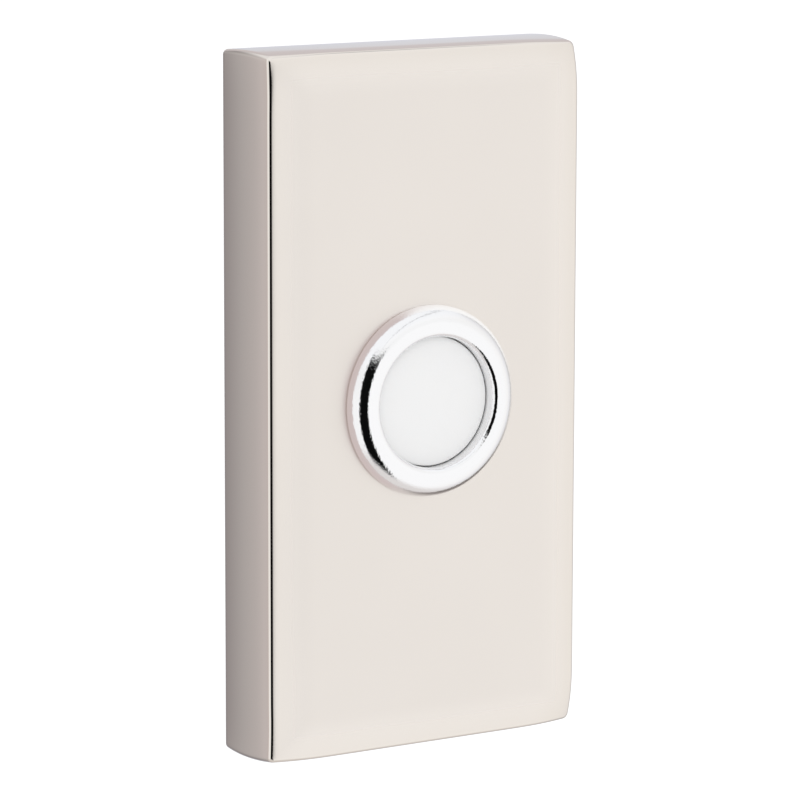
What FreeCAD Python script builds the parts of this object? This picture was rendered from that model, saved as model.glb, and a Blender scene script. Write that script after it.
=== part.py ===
import FreeCAD, Part
import math
import os

V = FreeCAD.Vector

# Wall frame: y = 0 is the wall, the face looks along -Y, +Z is up.
# Heights called "rise" are measured outwards from the middle of the face.

# Cover plate, a cast and polished shell
PLATE_W = 41.4            # width across the front edges
PLATE_H = 80.0            # height across the front edges
PLATE_D = 10.05           # depth at the middle of each front edge
SIDE_BULGE = 0.3          # how far each side arcs outwards at half depth
FACE_CROWN = 0.5          # how far the face stands out above its edges
CROWN_WIDTH = 5.6         # width of the soft fall along each edge
CORNER_FALL = 4.5         # extra fall at a corner, per product of the two falls
CORNER_R = 0.6            # the four corners, seen from the front
FRONT_EDGE_R = 0.45
BACK_EDGE_R = 0.3
SIDE_WALL = 1.7
FACE_WALL = 1.6
CAVITY_CORNER_R = 1.5

# Bezel body: rounded head in front, threaded barrel behind
HEAD_OVERHANG = 1.45      # how far the head stands out past the barrel
BEZEL_RISE = 2.2
BEZEL_OUTER_ROUND = 2.0
BEZEL_INNER_ROUND = 0.7
BEZEL_FOOT_CHAMFER = 0.15
BARREL_WALL = 1.4
BARREL_END = 6.0          # where the barrel ends behind the wall plane
BARREL_CHAMFER = 0.5
HOLE_CLEARANCE = 0.1      # radial, barrel in the cover plate

# Push button, a moulded cap with a flange and a skirt
BUTTON_RISE = 0.65        # face of the button at rest
BUTTON_DOME = 0.12
BUTTON_EDGE_R = 0.3
BUTTON_TOP = 1.5          # thickness of the cap's end wall
BUTTON_TRAVEL = 1.8
LIP_CLEARANCE = 0.1       # radial, button in the lip of the bezel
LIP_DEPTH = 0.2           # lip of the bezel, below the level of the face
FLANGE_GAP = 0.05         # between the flange and the lip it stops against
FLANGE_T = 1.2
FLANGE_STEP = 0.6         # how far the flange stands out past the cap
BORE_CLEARANCE = 0.1      # radial, flange in the barrel
SKIRT_STEP = 1.0          # how far the skirt stands in from the flange
SKIRT_WALL = 1.0
SKIRT_END = -7.0          # rise of the skirt's open end
SPIGOT_H = 1.0            # ring under the cap that centres the spring
SPIGOT_WALL = 0.6

# Return spring round the lamp
SPRING_R = 2.9            # to the middle of the wire
SPRING_WIRE = 0.5
SPRING_TURNS = 6.5
SPRING_STRETCHES = 4      # lengths of wire in each turn
SPRING_CLEARANCE = 0.1    # radial, spring on the spigot and on the lamp board

# Moving contact under the skirt
CONTACT_T = 0.4
CONTACT_RIM = 0.3         # how far the ring stands out past the skirt
CONTACT_SPRING_GAP = 0.4  # radial, round the spring
DIMPLE_R = 0.7
DIMPLE_H = 0.3
CLOSING_GAP = 0.05        # left between dimple and strip at full travel

# Terminal base, which plugs the barrel
BASE_FRONT = -12.0        # rise of the base's front face
PLUG_CLEARANCE = 0.05
BASE_FLANGE_INSET = 0.2   # radial, from the outside of the barrel
BASE_FLANGE_T = 1.5
BARRIER_W = 1.2
BARRIER_H = 2.6
BARRIER_INSET = 2.3       # from the rim of the flange to the barrier's ends

# Fixed contact strips and their screws, one pair on each side
STRIP_T = 0.5
STRIP_W = 3.6
FOOT_SPRING_GAP = 0.45    # from the spring to the inner end of the foot
TIP_SPRING_GAP = 1.15     # from the spring to the inner end of the tip
FOOT_EDGE = 0.4           # metal left round the screw, along the foot
STRIP_BORE_GAP = 0.7      # from the strips to the barrel's bore
STRIP_BEND_R = 0.5
TERMINAL_R = 1.5
TERMINAL_CLEARANCE = 0.05
TERMINAL_TAIL = 0.4       # how far the screw passes the foot
TERMINAL_HEAD_R = 2.6
TERMINAL_HEAD_H = 2.0
TERMINAL_HEAD_ROUND = 0.4
CUP_FLOOR = 0.5
CUP_WALL = 0.4
CUP_H = 1.2
CUP_HEAD_GAP = 0.2
SLOT_W = 0.8
SLOT_DEPTH = 1.0

# Pilot lamp on its board, with the resistor in a pocket of the base
BOARD_T = 0.8
LED_R = 1.5
LED_RIM = 0.25
LED_RIM_H = 1.0
LED_H = 5.3
LEAD_R = 0.25
LEAD_X = 0.65
LEAD_TAIL = 0.5
RESISTOR_R = 0.9
RESISTOR_L = 3.6
RESISTOR_ROUND = 0.3
RESISTOR_GAP = 0.1

# Lock washer and nut that clamp the barrel behind the face
WASHER_RING = 2.2         # how far the washer stands out past the barrel
WASHER_T = 0.6
WASHER_NOTCHES = 12
NOTCH_W = 1.2
NOTCH_DEPTH = 0.9
NUT_WALL = 2.0            # thinnest metal round the barrel, at the flats
NUT_T = 2.5
NUT_CHAMFER = 0.6
THREAD_CLEARANCE = 0.05   # radial, nut and washer on the barrel

# Wall plate, bent from sheet
SHEET = 1.2
BEND_R = 0.6              # inside the bend
SHELL_GAP = 0.6           # between the wall plate and the cover's side walls
RIM_H = 3.5
PLATE_END_GAP = 4.3       # from the cover's end walls to the ends of the rims
WALL_HOLE_GAP = 2.5       # radial, round the barrel
TAB_W = 12.0
TAB_ROOT = 3.0            # from the hole's edge to where a tab's strip begins
TAB_GAP = 1.7             # from the cover's end walls to the tabs
UPPER_TAB_Y = 5.2
LIP_GAP = 0.4
LOWER_TAB_Y = 7.0
SCREW_MARGIN = 9.0        # from the ends of the rims to the wall screws
SCREW_SLOT_W = 4.2
SCREW_SLOT_L = 8.0

# What holds the cover: a rib over the upper tab, a grub screw on the lower one
RIB_W = 11.0
RIB_T = 1.5
RIB_GAP = 0.3
BOSS_W = 7.0
BOSS_GAP = 0.5
BOSS_BACK = 2.0
GRUB_Y = 4.5
GRUB_R = 1.45
GRUB_L = 3.0
GRUB_CLEARANCE = 0.05
GRUB_SOCKET = 1.5
GRUB_SOCKET_DEPTH = 1.4
GRUB_CUP_R = 0.9
GRUB_CUP_TIP_R = 0.3
GRUB_CUP_DEPTH = 0.45

# Wall screws
WALL_SCREW_R = 1.75       # over the thread
WALL_NECK_R = 1.3         # plain neck through the sheet
WALL_SCREW_L = 25.0
WALL_SCREW_POINT = 4.0
WALL_HEAD_R = 3.4
WALL_HEAD_H = 2.3
WALL_HEAD_ROUND = 1.3
CROSS_L = 3.6
CROSS_W = 0.9
CROSS_DEPTH = 1.4

# How far a cut runs past the surface that it opens
PAST = 1.0

# Sizes that follow from those above
FACE_Y = -(PLATE_D + FACE_CROWN)
FACE_BACK_Y = FACE_Y + FACE_WALL
HALF_W = PLATE_W / 2
HALF_H = PLATE_H / 2
SHELL_X = HALF_W - SIDE_WALL
SHELL_Z = HALF_H - SIDE_WALL
TAB_Z = SHELL_Z - TAB_GAP
SPRING_BORE = SPRING_R - SPRING_WIRE / 2
SPRING_OUT = SPRING_R + SPRING_WIRE / 2
BOARD_R = SPRING_BORE - SPRING_CLEARANCE
STRIP_IN = SPRING_OUT + FOOT_SPRING_GAP
STRIP_TIP_IN = SPRING_OUT + TIP_SPRING_GAP
TERMINAL_X = STRIP_IN + FOOT_EDGE + TERMINAL_R
STRIP_OUT = TERMINAL_X + TERMINAL_R + FOOT_EDGE
CONTACT_X = (STRIP_TIP_IN + STRIP_OUT) / 2
BORE_R = STRIP_OUT + STRIP_BORE_GAP
BARREL_R = BORE_R + BARREL_WALL
BEZEL_R = BARREL_R + HEAD_OVERHANG
FLANGE_R = BORE_R - BORE_CLEARANCE
BUTTON_R = FLANGE_R - FLANGE_STEP
SKIRT_R = FLANGE_R - SKIRT_STEP
LIP_R = BUTTON_R + LIP_CLEARANCE
BASE_FLANGE_R = BARREL_R - BASE_FLANGE_INSET
BARRIER_L = 2 * (BASE_FLANGE_R - BARRIER_INSET)
WASHER_R = BARREL_R + WASHER_RING
NUT_ACROSS = 2 * (BARREL_R + NUT_WALL)
WALL_HOLE_R = BARREL_R + WALL_HOLE_GAP
CAP_UNDER = BUTTON_RISE - BUTTON_TOP
STRIP_TIP = SKIRT_END - CONTACT_T - DIMPLE_H - BUTTON_TRAVEL - CLOSING_GAP
CUP_R = TERMINAL_HEAD_R + CUP_HEAD_GAP + CUP_WALL
SCREW_Z = SHELL_Z - PLATE_END_GAP - SCREW_MARGIN


def ahead(rise):
    """The y of a point that stands out from the face by rise."""
    return FACE_Y - rise


def outline(start, *steps):
    """A closed wire in the XY plane; a step is a point, or the middle and end of an arc."""
    edges = []
    here = start
    for step in steps + (start,):
        if isinstance(step[0], tuple):
            middle, end = step
            edges.append(Part.Arc(V(*here, 0), V(*middle, 0), V(*end, 0)).toShape())
        else:
            end = step
            if math.dist(here, end) > 1e-6:
                edges.append(Part.makeLine(V(*here, 0), V(*end, 0)))
        here = end
    return Part.Wire(edges)


def on_arc(centre, radius, degrees):
    angle = math.radians(degrees)
    return (centre[0] + radius * math.cos(angle), centre[1] + radius * math.sin(angle))


def hexagon(across):
    """The closed run of corners of a hexagon of this size across its flats."""
    return [on_arc((0, 0), across / math.sqrt(3), 60 * step) for step in range(7)]


def turned(wire, axis_x=0.0, axis_z=0.0):
    """A profile of (radius, y) turned about an axis along Y."""
    solid = Part.Face(wire).revolve(V(0, 0, 0), V(0, 1, 0), 360)
    solid.translate(V(axis_x, 0, axis_z))
    return solid


def rod(radius, y_from, y_to, x=0.0, z=0.0):
    return Part.makeCylinder(radius, y_to - y_from, V(x, y_from, z), V(0, 1, 0))


def block(x0, x1, y0, y1, z0, z1):
    return Part.makeBox(x1 - x0, y1 - y0, z1 - z0, V(x0, y0, z0))


def prism(wire, depth):
    """The wire's area, pushed out by depth on both sides of its plane."""
    body = Part.Face(wire).extrude(V(0, 0, 2 * depth))
    body.translate(V(0, 0, -depth))
    return body


def save(name, solid):
    solid.removeSplitter().exportStep("parts/" + name + ".step")


def bulged_block(half, reach):
    """A long bar whose two sides arc outwards between the wall and the front edge."""
    radius = (PLATE_D ** 2 / 4 + SIDE_BULGE ** 2) / (2 * SIDE_BULGE)
    centre_x = half + SIDE_BULGE - radius
    front = FACE_Y - PAST

    def side(y):
        return centre_x + math.sqrt(radius ** 2 - (y + PLATE_D / 2) ** 2)

    middle = front / 2
    wire = outline((-side(0), 0), (side(0), 0),
                   ((side(middle), middle), (side(front), front)),
                   (-side(front), front),
                   ((-side(middle), middle), (-side(0), 0)))
    return prism(wire, reach)


def crown_cut():
    """All that lies behind the crowned face, whose fall grows towards edges and corners."""
    margin = SIDE_BULGE + PAST

    def knots_poles_falls(half):
        inner = half - CROWN_WIDTH
        outer = half + margin
        knots = [-outer, -inner, inner, outer]
        poles = [-outer, -(outer + inner) / 2, 0.0, (outer + inner) / 2, outer]
        edge_fall = FACE_CROWN * ((CROWN_WIDTH + margin) / CROWN_WIDTH) ** 2
        return knots, poles, [edge_fall, 0.0, 0.0, 0.0, edge_fall]

    x_knots, xs, x_falls = knots_poles_falls(HALF_W)
    z_knots, zs, z_falls = knots_poles_falls(HALF_H)
    poles = [[V(x, FACE_Y + fx + fz + CORNER_FALL * fx * fz, z) for z, fz in zip(zs, z_falls)]
             for x, fx in zip(xs, x_falls)]
    sheet = Part.BSplineSurface()
    sheet.buildFromPolesMultsKnots(poles, [3, 1, 1, 3], [3, 1, 1, 3], x_knots, z_knots,
                                   False, False, 2, 2)
    return sheet.toShape().extrude(V(0, 3 * PLATE_D, 0))


def cover_plate():
    upright = bulged_block(HALF_W, PLATE_H)
    level = bulged_block(HALF_H, PLATE_W)
    level.rotate(V(0, 0, 0), V(0, 1, 0), 90)
    shell = upright.common(level)
    mitres = [e for e in shell.Edges if e.BoundBox.YLength > PLATE_D / 2]
    shell = shell.makeFillet(CORNER_R, mitres).common(crown_cut())
    front = [e for e in shell.Edges
             if e.BoundBox.YMax < -PLATE_D / 2 and e.BoundBox.YLength < PLATE_D / 2]
    shell = shell.makeFillet(FRONT_EDGE_R, front)
    back = [e for e in shell.Edges if e.BoundBox.YMin > -1e-4]
    shell = shell.makeFillet(BACK_EDGE_R, back)

    cavity = block(-SHELL_X, SHELL_X, FACE_BACK_Y, PAST, -SHELL_Z, SHELL_Z)
    corners = [e for e in cavity.Edges if e.BoundBox.YLength > PLATE_D / 2]
    cavity = cavity.makeFillet(CAVITY_CORNER_R, corners)
    rib_y = -(UPPER_TAB_Y - SHEET - RIB_GAP)
    rib = block(-RIB_W / 2, RIB_W / 2, rib_y, rib_y + RIB_T, TAB_Z + RIB_GAP, SHELL_Z + PAST)
    boss = block(-BOSS_W / 2, BOSS_W / 2, FACE_BACK_Y - PAST, -BOSS_BACK,
                 -SHELL_Z - PAST, -(TAB_Z + BOSS_GAP))
    shell = shell.cut(cavity.cut(rib).cut(boss))
    shell = shell.cut(rod(BARREL_R + HOLE_CLEARANCE, FACE_Y - PAST, 0))
    thread = Part.makeCylinder(GRUB_R + GRUB_CLEARANCE, HALF_H, V(0, -GRUB_Y, -TAB_Z), V(0, 0, -1))
    save("cover_plate", shell.cut(thread))


def bezel_body():
    """Rounded head, inner lip and barrel, turned in one piece."""
    crest = ahead(BEZEL_RISE)
    outer = (BEZEL_R - BEZEL_OUTER_ROUND, crest + BEZEL_OUTER_ROUND)
    inner = (LIP_R + BEZEL_INNER_ROUND, crest + BEZEL_INNER_ROUND)
    wire = outline(
        (BARREL_R, FACE_Y),
        (BEZEL_R - BEZEL_FOOT_CHAMFER, FACE_Y),
        (BEZEL_R, FACE_Y - BEZEL_FOOT_CHAMFER),
        (BEZEL_R, outer[1]),
        (on_arc(outer, BEZEL_OUTER_ROUND, -45), (outer[0], crest)),
        (inner[0], crest),
        (on_arc(inner, BEZEL_INNER_ROUND, -135), (LIP_R, inner[1])),
        (LIP_R, ahead(-LIP_DEPTH)),
        (BORE_R, ahead(-LIP_DEPTH)),
        (BORE_R, BARREL_END),
        (BARREL_R - BARREL_CHAMFER, BARREL_END),
        (BARREL_R, BARREL_END - BARREL_CHAMFER))
    save("bezel_body", turned(wire))


def push_button():
    top = ahead(BUTTON_RISE)
    flange = ahead(-(LIP_DEPTH + FLANGE_GAP))
    under = ahead(CAP_UNDER)
    spigot_r = SPRING_BORE - SPRING_CLEARANCE
    round_centre = (BUTTON_R - BUTTON_EDGE_R, top + BUTTON_EDGE_R)
    dome_r = (round_centre[0] ** 2 + BUTTON_DOME ** 2) / (2 * BUTTON_DOME)
    dome_centre = (0, top - BUTTON_DOME + dome_r)
    half_angle = math.degrees(math.asin(round_centre[0] / dome_r)) / 2
    wire = outline(
        (0, top - BUTTON_DOME),
        (on_arc(dome_centre, dome_r, half_angle - 90), (round_centre[0], top)),
        (on_arc(round_centre, BUTTON_EDGE_R, -45), (BUTTON_R, round_centre[1])),
        (BUTTON_R, flange),
        (FLANGE_R, flange),
        (FLANGE_R, flange + FLANGE_T),
        (SKIRT_R, flange + FLANGE_T),
        (SKIRT_R, ahead(SKIRT_END)),
        (SKIRT_R - SKIRT_WALL, ahead(SKIRT_END)),
        (SKIRT_R - SKIRT_WALL, under),
        (spigot_r, under),
        (spigot_r, under + SPIGOT_H),
        (spigot_r - SPIGOT_WALL, under + SPIGOT_H),
        (spigot_r - SPIGOT_WALL, under),
        (0, under))
    save("push_button", turned(wire))


def contact_ring():
    """Spring-bronze ring on the skirt, with a dimple above each fixed strip."""
    front = ahead(SKIRT_END)
    ring = rod(SKIRT_R + CONTACT_RIM, front, front + CONTACT_T)
    ring = ring.cut(rod(SPRING_OUT + CONTACT_SPRING_GAP, front - PAST, front + CONTACT_T + PAST))
    for side in (-1, 1):
        dimple = Part.makeCone(DIMPLE_R, DIMPLE_R / 2, CONTACT_T / 2 + DIMPLE_H,
                               V(side * CONTACT_X, front + CONTACT_T / 2, 0), V(0, 1, 0))
        ring = ring.fuse(dimple)
    save("contact_ring", ring)


def return_spring():
    """Open coil between the underside of the cap and the terminal base, in short stretches."""
    start = ahead(CAP_UNDER)
    pitch = (ahead(BASE_FRONT) - start - SPRING_WIRE) / SPRING_TURNS
    climb = pitch / SPRING_STRETCHES
    edges = []
    for step in range(round(SPRING_TURNS * SPRING_STRETCHES)):
        stretch = Part.makeHelix(pitch, climb, SPRING_R)
        stretch.rotate(V(0, 0, 0), V(0, 0, 1), step * 360 / SPRING_STRETCHES)
        stretch.translate(V(0, 0, step * climb))
        edges += stretch.Edges
    section = Part.Wire(Part.makeCircle(SPRING_WIRE / 2, V(SPRING_R, 0, 0), V(0, 1, 0)))
    coil = Part.Wire(edges).makePipeShell([section], True, True)
    coil.rotate(V(0, 0, 0), V(1, 0, 0), -90)
    coil.translate(V(0, start + SPRING_WIRE / 2, 0))
    save("return_spring", coil)


def terminal_base():
    """Moulded plug with a flange, the lamp's pocket and a barrier between the screws."""
    front = ahead(BASE_FRONT)
    back = BARREL_END + BASE_FLANGE_T
    base = rod(BORE_R - PLUG_CLEARANCE, front, BARREL_END)
    base = base.fuse(rod(BASE_FLANGE_R, BARREL_END, back))
    base = base.fuse(block(-BARRIER_W / 2, BARRIER_W / 2, back - BASE_FLANGE_T / 2,
                           back + BARRIER_H, -BARRIER_L / 2, BARRIER_L / 2))
    for side in (-1, 1):
        base = base.cut(rod(TERMINAL_R + TERMINAL_CLEARANCE, front - PAST, back + PAST,
                            side * TERMINAL_X))
    pocket_x = RESISTOR_L / 2 + RESISTOR_GAP
    pocket_z = RESISTOR_R + RESISTOR_GAP
    pocket_y = front + LEAD_TAIL + RESISTOR_GAP + 2 * RESISTOR_R
    base = base.cut(block(-pocket_x, pocket_x, front - PAST, pocket_y, -pocket_z, pocket_z))
    lead_z = LEAD_R + RESISTOR_GAP
    lead_y = front + LEAD_TAIL + RESISTOR_R + LEAD_R + RESISTOR_GAP
    base = base.cut(block(-STRIP_IN - STRIP_T, STRIP_IN + STRIP_T, front - PAST, lead_y,
                          -lead_z, lead_z))
    save("terminal_base", base)


def contact_strip(name, side):
    """Brass strip bent up from a foot under the screw to a tip under the moving ring."""
    foot = ahead(BASE_FRONT)
    tip = ahead(STRIP_TIP)
    wire = outline(
        (STRIP_IN, foot), (STRIP_IN, foot - STRIP_T),
        (STRIP_OUT - STRIP_T, foot - STRIP_T), (STRIP_OUT - STRIP_T, tip + STRIP_T),
        (STRIP_TIP_IN, tip + STRIP_T), (STRIP_TIP_IN, tip),
        (STRIP_OUT, tip), (STRIP_OUT, foot))
    strip = prism(wire, STRIP_W / 2)
    bends = [e for e in strip.Edges
             if e.BoundBox.ZLength > STRIP_W / 2 and e.BoundBox.XMin > STRIP_OUT - STRIP_T / 2]
    strip = strip.makeFillet(STRIP_BEND_R, bends)
    strip = strip.cut(rod(TERMINAL_R + TERMINAL_CLEARANCE, foot - STRIP_T - PAST, foot + PAST,
                          TERMINAL_X))
    if side < 0:
        strip.rotate(V(0, 0, 0), V(0, 1, 0), 180)
    save(name, strip)


def cup_washer(name, side):
    back = BARREL_END + BASE_FLANGE_T
    wire = outline(
        (TERMINAL_R + TERMINAL_CLEARANCE, back), (CUP_R, back), (CUP_R, back + CUP_H),
        (CUP_R - CUP_WALL, back + CUP_H), (CUP_R - CUP_WALL, back + CUP_FLOOR),
        (TERMINAL_R + TERMINAL_CLEARANCE, back + CUP_FLOOR))
    save(name, turned(wire, side * TERMINAL_X))


def terminal_screw(name, side):
    """Slotted cheese-head screw, from the back of the base through the strip's foot."""
    seat = BARREL_END + BASE_FLANGE_T + CUP_FLOOR
    tail = ahead(BASE_FRONT) - STRIP_T - TERMINAL_TAIL
    x = side * TERMINAL_X
    head = rod(TERMINAL_HEAD_R, seat, seat + TERMINAL_HEAD_H, x)
    rim = [e for e in head.Edges if e.BoundBox.YMin > seat + TERMINAL_HEAD_H / 2]
    head = head.makeFillet(TERMINAL_HEAD_ROUND, rim)
    screw = head.fuse(rod(TERMINAL_R, tail, seat, x))
    slot = block(x - SLOT_W / 2, x + SLOT_W / 2, seat + TERMINAL_HEAD_H - SLOT_DEPTH,
                 seat + TERMINAL_HEAD_H + PAST, -2 * TERMINAL_HEAD_R, 2 * TERMINAL_HEAD_R)
    save(name, screw.cut(slot))


def lamp_board():
    front = ahead(BASE_FRONT) - BOARD_T
    board = rod(BOARD_R, front, front + BOARD_T)
    for side in (-1, 1):
        board = board.cut(rod(LEAD_R, front - PAST, front + BOARD_T + PAST, side * LEAD_X))
    save("lamp_board", board)


def pilot_lamp():
    foot = ahead(BASE_FRONT) - BOARD_T
    dome = foot - LED_H + LED_R
    wire = outline(
        (0, foot), (LED_R + LED_RIM, foot), (LED_R + LED_RIM, foot - LED_RIM_H),
        (LED_R, foot - LED_RIM_H), (LED_R, dome),
        (on_arc((0, dome), LED_R, -45), (0, foot - LED_H)))
    lamp = turned(wire)
    for side in (-1, 1):
        lamp = lamp.fuse(rod(LEAD_R, foot, foot + BOARD_T + LEAD_TAIL, side * LEAD_X))
    save("pilot_lamp", lamp)


def lamp_resistor():
    y = ahead(BASE_FRONT) + LEAD_TAIL + RESISTOR_GAP + RESISTOR_R
    body = Part.makeCylinder(RESISTOR_R, RESISTOR_L, V(-RESISTOR_L / 2, y, 0), V(1, 0, 0))
    body = body.makeFillet(RESISTOR_ROUND, body.Edges)
    reach = STRIP_IN + STRIP_T / 2
    lead = Part.makeCylinder(LEAD_R, 2 * reach, V(-reach, y, 0), V(1, 0, 0))
    save("lamp_resistor", body.fuse(lead))


def lock_washer():
    """Flat ring with teeth cut round its bore."""
    washer = rod(WASHER_R, FACE_BACK_Y, FACE_BACK_Y + WASHER_T)
    bore = BARREL_R + THREAD_CLEARANCE
    front = FACE_BACK_Y - PAST
    back = FACE_BACK_Y + WASHER_T + PAST
    washer = washer.cut(rod(bore, front, back))
    notch = block(bore - PAST, bore + NOTCH_DEPTH, front, back, -NOTCH_W / 2, NOTCH_W / 2)
    for step in range(WASHER_NOTCHES):
        turned_notch = notch.copy()
        turned_notch.rotate(V(0, 0, 0), V(0, 1, 0), (step + 0.5) * 360 / WASHER_NOTCHES)
        washer = washer.cut(turned_notch)
    save("lock_washer", washer)


def barrel_nut():
    front = FACE_BACK_Y + WASHER_T
    corners = [V(x, front, z) for x, z in hexagon(NUT_ACROSS)]
    nut = Part.Face(Part.makePolygon(corners)).extrude(V(0, NUT_T, 0))
    chamfered = rod(NUT_ACROSS / math.sqrt(3), front, front + NUT_T)
    rims = [e for e in chamfered.Edges if isinstance(e.Curve, Part.Circle)]
    nut = nut.common(chamfered.makeChamfer(NUT_CHAMFER, rims))
    save("barrel_nut", nut.cut(rod(BARREL_R + THREAD_CLEARANCE, front - PAST, front + NUT_T + PAST)))


def slot_cutter(z, along_x, width, length):
    """A round-ended slot through the wall plate."""
    reach = (length - width) / 2
    dx, dz = (reach, 0) if along_x else (0, reach)
    cutter = rod(width / 2, -2 * SHEET, SHEET, -dx, z - dz)
    cutter = cutter.fuse(rod(width / 2, -2 * SHEET, SHEET, dx, z + dz))
    half = width / 2
    if along_x:
        return cutter.fuse(block(-dx, dx, -2 * SHEET, SHEET, z - half, z + half))
    return cutter.fuse(block(-half, half, -2 * SHEET, SHEET, z - dz, z + dz))


def bent_tab(reach, upturn):
    """Sheet bent forward from the plate, seen from the side as (z, y); upturn adds a lip."""
    outer = SHEET + BEND_R
    bend = (TAB_Z - outer, -outer)
    low = on_arc(bend, outer, 45)
    high = on_arc(bend, BEND_R, 45)
    steps = [(bend[0], 0), (low, (TAB_Z, -outer))]
    if upturn:
        top = SHELL_Z - LIP_GAP
        steps += [(TAB_Z, -(reach - SHEET)), (top, -(reach - SHEET)), (top, -reach)]
    else:
        steps += [(TAB_Z, -reach)]
    steps += [(TAB_Z - SHEET, -reach), (TAB_Z - SHEET, -outer),
              (high, (bend[0], -SHEET)), (WALL_HOLE_R + TAB_ROOT, -SHEET)]
    wire = outline((WALL_HOLE_R + TAB_ROOT, 0), *steps)
    tab = prism(wire, TAB_W / 2)
    tab.rotate(V(0, 0, 0), V(0, 1, 0), -90)
    return tab


def wall_plate():
    """Pressed steel: side rims bent forward, a hook tab above and a grub-screw tab below."""
    x = SHELL_X - SHELL_GAP
    outer = SHEET + BEND_R
    left = (-x + outer, -outer)
    right = (x - outer, -outer)
    wire = outline(
        (left[0], 0), (right[0], 0),
        (on_arc(right, outer, 45), (x, -outer)), (x, -RIM_H), (x - SHEET, -RIM_H),
        (x - SHEET, -outer), (on_arc(right, BEND_R, 45), (right[0], -SHEET)),
        (left[0], -SHEET),
        (on_arc(left, BEND_R, 135), (-x + SHEET, -outer)), (-x + SHEET, -RIM_H),
        (-x, -RIM_H), (-x, -outer), (on_arc(left, outer, 135), (left[0], 0)))
    plate = prism(wire, SHELL_Z - PLATE_END_GAP)
    lower = bent_tab(LOWER_TAB_Y, False)
    lower.rotate(V(0, 0, 0), V(0, 1, 0), 180)
    plate = plate.fuse([bent_tab(UPPER_TAB_Y, True), lower])
    plate = plate.cut(rod(WALL_HOLE_R, -2 * SHEET, SHEET))
    plate = plate.cut(slot_cutter(SCREW_Z, True, SCREW_SLOT_W, SCREW_SLOT_L))
    plate = plate.cut(slot_cutter(-SCREW_Z, False, SCREW_SLOT_W, SCREW_SLOT_L))
    save("wall_plate", plate)


def wall_screw(name, z):
    """Pan-head wood screw with a cross recess."""
    head_top = -SHEET - WALL_HEAD_H
    end = -SHEET + WALL_SCREW_L
    wire = outline(
        (0, head_top), (WALL_HEAD_R - WALL_HEAD_ROUND, head_top),
        (on_arc((WALL_HEAD_R - WALL_HEAD_ROUND, head_top + WALL_HEAD_ROUND), WALL_HEAD_ROUND, -45),
         (WALL_HEAD_R, head_top + WALL_HEAD_ROUND)),
        (WALL_HEAD_R, -SHEET), (WALL_NECK_R, -SHEET), (WALL_NECK_R, 0), (WALL_SCREW_R, 0),
        (WALL_SCREW_R, end - WALL_SCREW_POINT), (0, end))
    screw = turned(wire, 0, z)
    half_l = CROSS_L / 2
    half_w = CROSS_W / 2
    for x_half, z_half in ((half_l, half_w), (half_w, half_l)):
        screw = screw.cut(block(-x_half, x_half, head_top - PAST, head_top + CROSS_DEPTH,
                                z - z_half, z + z_half))
    save(name, screw)


def grub_screw():
    """Socket set screw in the cover's lower wall; its cup end bears on the lower tab."""
    top = -TAB_Z
    low = top - GRUB_L
    screw = Part.makeCylinder(GRUB_R, GRUB_L, V(0, -GRUB_Y, low))
    cup = Part.makeCone(GRUB_CUP_TIP_R, GRUB_CUP_R, GRUB_CUP_DEPTH,
                        V(0, -GRUB_Y, top - GRUB_CUP_DEPTH))
    corners = [V(x, y - GRUB_Y, low) for x, y in hexagon(GRUB_SOCKET)]
    socket = Part.Face(Part.makePolygon(corners)).extrude(V(0, 0, GRUB_SOCKET_DEPTH))
    save("grub_screw", screw.cut(cup).cut(socket))


os.makedirs("parts", exist_ok=True)
cover_plate()
bezel_body()
push_button()
contact_ring()
return_spring()
terminal_base()
for word, side in (("left", -1), ("right", 1)):
    contact_strip("contact_strip_" + word, side)
    cup_washer("cup_washer_" + word, side)
    terminal_screw("terminal_screw_" + word, side)
lamp_board()
pilot_lamp()
lamp_resistor()
lock_washer()
barrel_nut()
wall_plate()
wall_screw("wall_screw_upper", SCREW_Z)
wall_screw("wall_screw_lower", -SCREW_Z)
grub_screw()
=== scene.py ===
import math
import bpy
from mathutils import Matrix, Vector


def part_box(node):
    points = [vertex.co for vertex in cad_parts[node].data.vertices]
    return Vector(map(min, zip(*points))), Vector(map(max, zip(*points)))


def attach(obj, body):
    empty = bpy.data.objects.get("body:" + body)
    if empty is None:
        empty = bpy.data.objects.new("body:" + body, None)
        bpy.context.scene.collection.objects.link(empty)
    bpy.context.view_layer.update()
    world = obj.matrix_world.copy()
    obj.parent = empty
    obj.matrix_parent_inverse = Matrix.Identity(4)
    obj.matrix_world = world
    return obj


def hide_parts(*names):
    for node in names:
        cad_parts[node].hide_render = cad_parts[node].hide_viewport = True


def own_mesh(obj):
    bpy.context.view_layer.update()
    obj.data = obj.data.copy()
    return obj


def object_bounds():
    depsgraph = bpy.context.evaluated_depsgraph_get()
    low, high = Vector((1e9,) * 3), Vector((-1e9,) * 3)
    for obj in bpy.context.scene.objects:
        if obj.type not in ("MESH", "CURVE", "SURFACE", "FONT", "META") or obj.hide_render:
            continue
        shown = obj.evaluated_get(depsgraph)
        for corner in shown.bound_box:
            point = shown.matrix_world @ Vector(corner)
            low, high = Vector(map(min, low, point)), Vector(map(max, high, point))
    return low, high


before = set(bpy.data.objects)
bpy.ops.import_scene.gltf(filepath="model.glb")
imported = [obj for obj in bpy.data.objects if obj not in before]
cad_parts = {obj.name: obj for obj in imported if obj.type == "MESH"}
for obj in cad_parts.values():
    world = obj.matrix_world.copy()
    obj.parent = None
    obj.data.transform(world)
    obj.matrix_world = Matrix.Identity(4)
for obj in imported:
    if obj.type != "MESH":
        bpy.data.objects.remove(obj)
cad_low, cad_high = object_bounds()
MM = 0.001

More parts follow.
